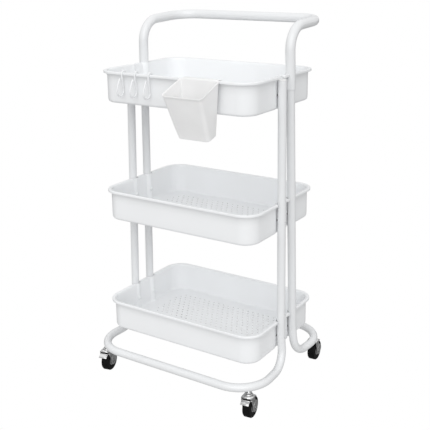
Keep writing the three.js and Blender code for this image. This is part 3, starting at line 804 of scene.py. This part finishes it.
        # two pressed cross bars for grip, and side flanges
        for yy, zz, rr in ((-15.4, 50.4, 1.15), (-23.6, 46.3, 1.3)):
            v, f = lathe(smooth_profile([(0, -9.4), (rr * 0.8, -9.4), (rr, -9.0), (rr, 9.0), (rr * 0.8, 9.4), (0, 9.4)]), 20, "x")
            boolean(ob, make("bar", v, f, None, None, local=L @ Matrix.Translation((0, yy, zz))), "UNION")
        v, f = lathe(smooth_profile([(0, -14.0), (1.9, -14.0, 0.3), (2.4, -13.8, 0.3), (2.4, -13.55), (1.6, -13.5), (1.6, 13.5), (2.4, 13.55), (2.4, 13.8, 0.3), (1.9, 14.0), (0, 14.0)]), 20, "x")
        boolean(ob, make("pin", v, f, None, None, local=L @ Matrix.Translation((0, -9, 48.6))), "UNION")
        bevel(ob, 0.25, 2, 40, 40)
        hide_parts(name + "_brake_pedal")


for args in (("front_left", -1, -1, 12, True), ("front_right", 1, -1, 7, True), ("rear_left", -1, 1, 3, False), ("rear_right", 1, 1, 5, False)):
    caster(*args)

# ---------------------------------------------------------------- hanging cup
CUP = dict(x=82.3, hTB=48.8, hTF=50.0, hB=41.5, yB=-152.4, yFT=-222.0, yFB=-181.0, zTB=751.5, zTF=723.5, zBB=637.0, zBF=627.0)


def cup_ring(t, inset, lift=0.0, n=8):
    """plan loop of the cup at height fraction t (0 bottom, 1 mouth), inset inwards."""
    c = CUP
    hb = c["hB"] + (c["hTB"] - c["hB"]) * t - inset
    hf = (c["hB"] - 1) + (c["hTF"] - c["hB"] + 1) * t - inset
    yb = c["yB"] - inset
    yf = c["yFB"] + (c["yFT"] - c["yFB"]) * t + inset
    zb_ = c["zBB"] + (c["zTB"] - c["zBB"]) * t + lift
    zf = c["zBF"] + (c["zTF"] - c["zBF"]) * t + lift
    cs = [Vector((hb, yb)), Vector((-hb, yb)), Vector((-hf, yf)), Vector((hf, yf))]
    out = []
    for i in range(4):
        p, a, b = cs[i], (cs[i - 1] - cs[i]).normalized(), (cs[(i + 1) % 4] - cs[i]).normalized()
        R = max((5.0 if i < 2 else 9.0) - inset * 0.8, 0.8)
        ang = a.angle(b)
        tt = R / math.tan(ang / 2)
        cc = p + (a + b).normalized() * (R / math.sin(ang / 2))
        A, B = p + a * tt - cc, p + b * tt - cc
        a0 = math.atan2(A.y, A.x)
        da = math.atan2(B.y, B.x) - a0
        while da > math.pi:
            da -= 2 * math.pi
        while da < -math.pi:
            da += 2 * math.pi
        for k in range(n + 1):
            q = a0 + da * k / n
            out.append((cc.x + R * math.cos(q), cc.y + R * math.sin(q)))
    return [(c["x"] + x, y, zb_ + (zf - zb_) * (y - c["yB"]) / (yf + inset * 0 - c["yB"])) for x, y in out]


def build_cup():
    verts, faces, rows = [], [], []

    def row(t, inset, lift=0.0):
        r = cup_ring(t, inset, lift)
        rows.append(len(verts))
        verts.extend(r)
        return len(r)
    W = 1.9
    ft = 3.0
    n = row(0.0, 14.0, 0.0)
    row(0.0, ft + 1.0, 0.0)
    for k in range(5):
        a = math.pi / 2 * k / 4
        row(0.0, ft * (1 - math.sin(a)), ft * (1 - math.cos(a)))
    for t in (0.25, 0.5, 0.75, 0.93):
        row(t, 0.0)
    # turned rim
    row(0.965, 0.0)
    row(0.972, -0.9)
    row(0.99, -1.3)
    row(1.0, -0.9, 0.4)
    row(1.0, 0.2, 0.7)
    row(1.0, W - 0.4, 0.4)
    row(0.99, W)
    for t in (0.75, 0.5, 0.25):
        row(t, W)
    for k in range(5):
        a = math.pi / 2 * (1 - k / 4)
        row(0.0, W + ft * (1 - math.sin(a)), W + 0.5 + ft * (1 - math.cos(a)))
    row(0.0, W + 12.0, W + 0.5)
    for a, b in zip(rows, rows[1:]):
        for j in range(n):
            k = (j + 1) % n
            faces.append((a + j, a + k, b + k, b + j))
    faces.append(tuple(rows[0] + j for j in range(n))[::-1])
    faces.append(tuple(rows[-1] + j for j in range(n)))
    cup = make("cup_shell", verts, faces, M_CUP, "cup", sharp=40)
    zt = RIM_Z["top"] + LIP_UP + 0.35
    yb, yi = -RIM_W / 2 - 0.35, -(RIM_W / 2 - OVER - SHEET) + 0.55
    out = smooth_profile([(yb - 1.9, zt - 14), (yb - 0.2, zt - 14), (yb, zt - 10), (yb, zt, 2.0), (yi, zt, 2.0), (yi, zt - 9.0, 0.5), (yi + 1.0, zt - 9.6, 0.5), (yi + 1.7, zt - 8.8, 0.5), (yi + 1.7, zt + 1.7, 3.0), (yb - 1.9, zt + 1.7, 3.0), (yb - 1.9, zt - 13)], 6)
    v, f = prism(out, CUP["x"] - 45.5, CUP["x"] + 45.5)
    lip = make("lip", v, f, M_CUP, None, sharp=40)
    bevel(lip, 0.6, 2, 50, 40)
    boolean(cup, lip, "UNION")
    finish_mesh(cup.data, 40)
    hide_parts("hanging_cup")


build_cup()

# ---------------------------------------------------------------- S-hooks
for i, x in enumerate((-127.0, -90.5, -53.0)):
    cy, cz, lr = -(RIM_W / 2 - 4.5), RIM_Z["top"], 7.4
    ctl = []
    for k in range(17):
        a = math.radians(8 + (180 - 8) * k / 16)
        ctl.append((cy + lr * math.cos(a), cz + lr * math.sin(a)))
    ctl += [(cy - 7.2, cz - 8), (cy - 6.2, cz - 15), (cy - 5.0, cz - 22), (cy - 3.9, cz - 29)]
    bc, br = (cy - 14.4, cz - 36.4), 11.4
    for k in range(1, 18):
        a = math.radians(12 - 200 * k / 17)
        ctl.append((bc[0] + br * math.cos(a), bc[1] + br * math.sin(a)))
    ctl += [(cy - 24.4, cz - 28.0), (cy - 22.2, cz - 22.5), (cy - 19.0, cz - 16.2), (cy - 14.6, cz - 9.2)]
    P = [Vector((x, y, z)) for y, z in ctl]
    # smooth once so that the bends run into each other
    for _ in range(2):
        P = [P[0]] + [(P[j - 1] + P[j] * 2 + P[j + 1]) / 4 for j in range(1, len(P) - 1)] + [P[-1]]
    ob = tube(f"hook_{i + 1}_wire", P, 1.95, M_HOOK, f"hook_{i + 1}_body", n=16, round_ends=True)
    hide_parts(f"hook_{i + 1}")

# ---------------------------------------------------------------- world, light, camera
# a white studio sweep all round: brighter overhead, dimmer below the horizon
w = bpy.data.worlds.new("studio")
bpy.context.scene.world = w
w.use_nodes = True
nt = w.node_tree
bg = nt.nodes["Background"]
tc = nt.nodes.new("ShaderNodeTexCoord")
sep = nt.nodes.new("ShaderNodeSeparateXYZ")
nt.links.new(tc.outputs["Generated"], sep.inputs[0])
h = map_range(nt, sep.outputs["Z"], -1.0, 1.0, 0.0, 1.0)
sky = ramp(nt, h.outputs["Result"], [(0.0, grey(0.74)), (0.30, grey(0.72)), (0.47, grey(0.52)), (0.53, grey(0.74)), (0.64, grey(0.98)), (1.0, grey(0.86))])
nt.links.new(sky.outputs["Color"], bg.inputs["Color"])
bg.inputs["Strength"].default_value = WORLD
bd = nt.nodes.new("ShaderNodeBackground")
bd.inputs["Color"].default_value = (1, 1, 1, 1)
bd.inputs["Strength"].default_value = 1.0
lp = nt.nodes.new("ShaderNodeLightPath")
mx = nt.nodes.new("ShaderNodeMixShader")
nt.links.new(lp.outputs["Is Camera Ray"], mx.inputs[0])
bg2 = nt.nodes.new("ShaderNodeBackground")
glo = ramp(nt, h.outputs["Result"], [(0.0, grey(0.30)), (0.36, grey(0.22)), (0.44, grey(0.05)), (0.50, grey(0.10)), (0.54, grey(0.85)), (0.60, grey(0.95)), (0.64, grey(0.30)), (0.74, grey(0.95)), (1.0, grey(1.0))])
nt.links.new(glo.outputs["Color"], bg2.inputs["Color"])
bg2.inputs["Strength"].default_value = 1.1
mg = nt.nodes.new("ShaderNodeMixShader")
nt.links.new(lp.outputs["Is Glossy Ray"], mg.inputs[0])
nt.links.new(bg.outputs[0], mg.inputs[1])
nt.links.new(bg2.outputs[0], mg.inputs[2])
nt.links.new(mg.outputs[0], mx.inputs[1])
nt.links.new(bd.outputs[0], mx.inputs[2])
nt.links.new(mx.outputs[0], nt.nodes["World Output"].inputs["Surface"])


def sun(name, towards, strength, angle):
    l = bpy.data.lights.new(name, "SUN")
    l.energy = strength
    l.angle = math.radians(angle)
    o = bpy.data.objects.new(name, l)
    o.rotation_euler = Vector(towards).to_track_quat("-Z", "Y").to_euler()
    bpy.context.scene.collection.objects.link(o)
    return o


sun("frontal", (-0.42, 0.76, -0.52), FRONT_SUN, 60)

sc = bpy.context.scene
sc.view_settings.view_transform = "Standard"
sc.view_settings.look = "None"

cam = bpy.data.cameras.new("camera")
cam.sensor_width = 36.0
F_PX, PX, PY = 804.62, 227.96, 181.97
cam.lens = F_PX * 36.0 / 430.0
cam.shift_x = (215.0 - PX) / 430.0
cam.shift_y = (PY - 215.0) / 430.0
cam.clip_start, cam.clip_end = 0.05, 60
yaw, pitch, roll = 0.5689, 0.2745, -0.0071
fw = Vector((-math.sin(yaw) * math.cos(pitch), math.cos(yaw) * math.cos(pitch), -math.sin(pitch)))
rt = Vector((math.cos(yaw), math.sin(yaw), 0))
up = rt.cross(fw)
c, s = math.cos(roll), math.sin(roll)
rt2, up2 = rt * c + up * s, -rt * s + up * c
co = bpy.data.objects.new("camera", cam)
M = Matrix.Identity(4)
for i in range(3):
    M[i][0], M[i][1], M[i][2] = rt2[i], up2[i], -fw[i]
M[0][3], M[1][3], M[2][3] = (1030.07 + OX) / 1000, (-1528.0 + OY) / 1000, (1012.16 - 12.0) / 1000
co.matrix_world = M
sc.collection.objects.link(co)
sc.camera = co
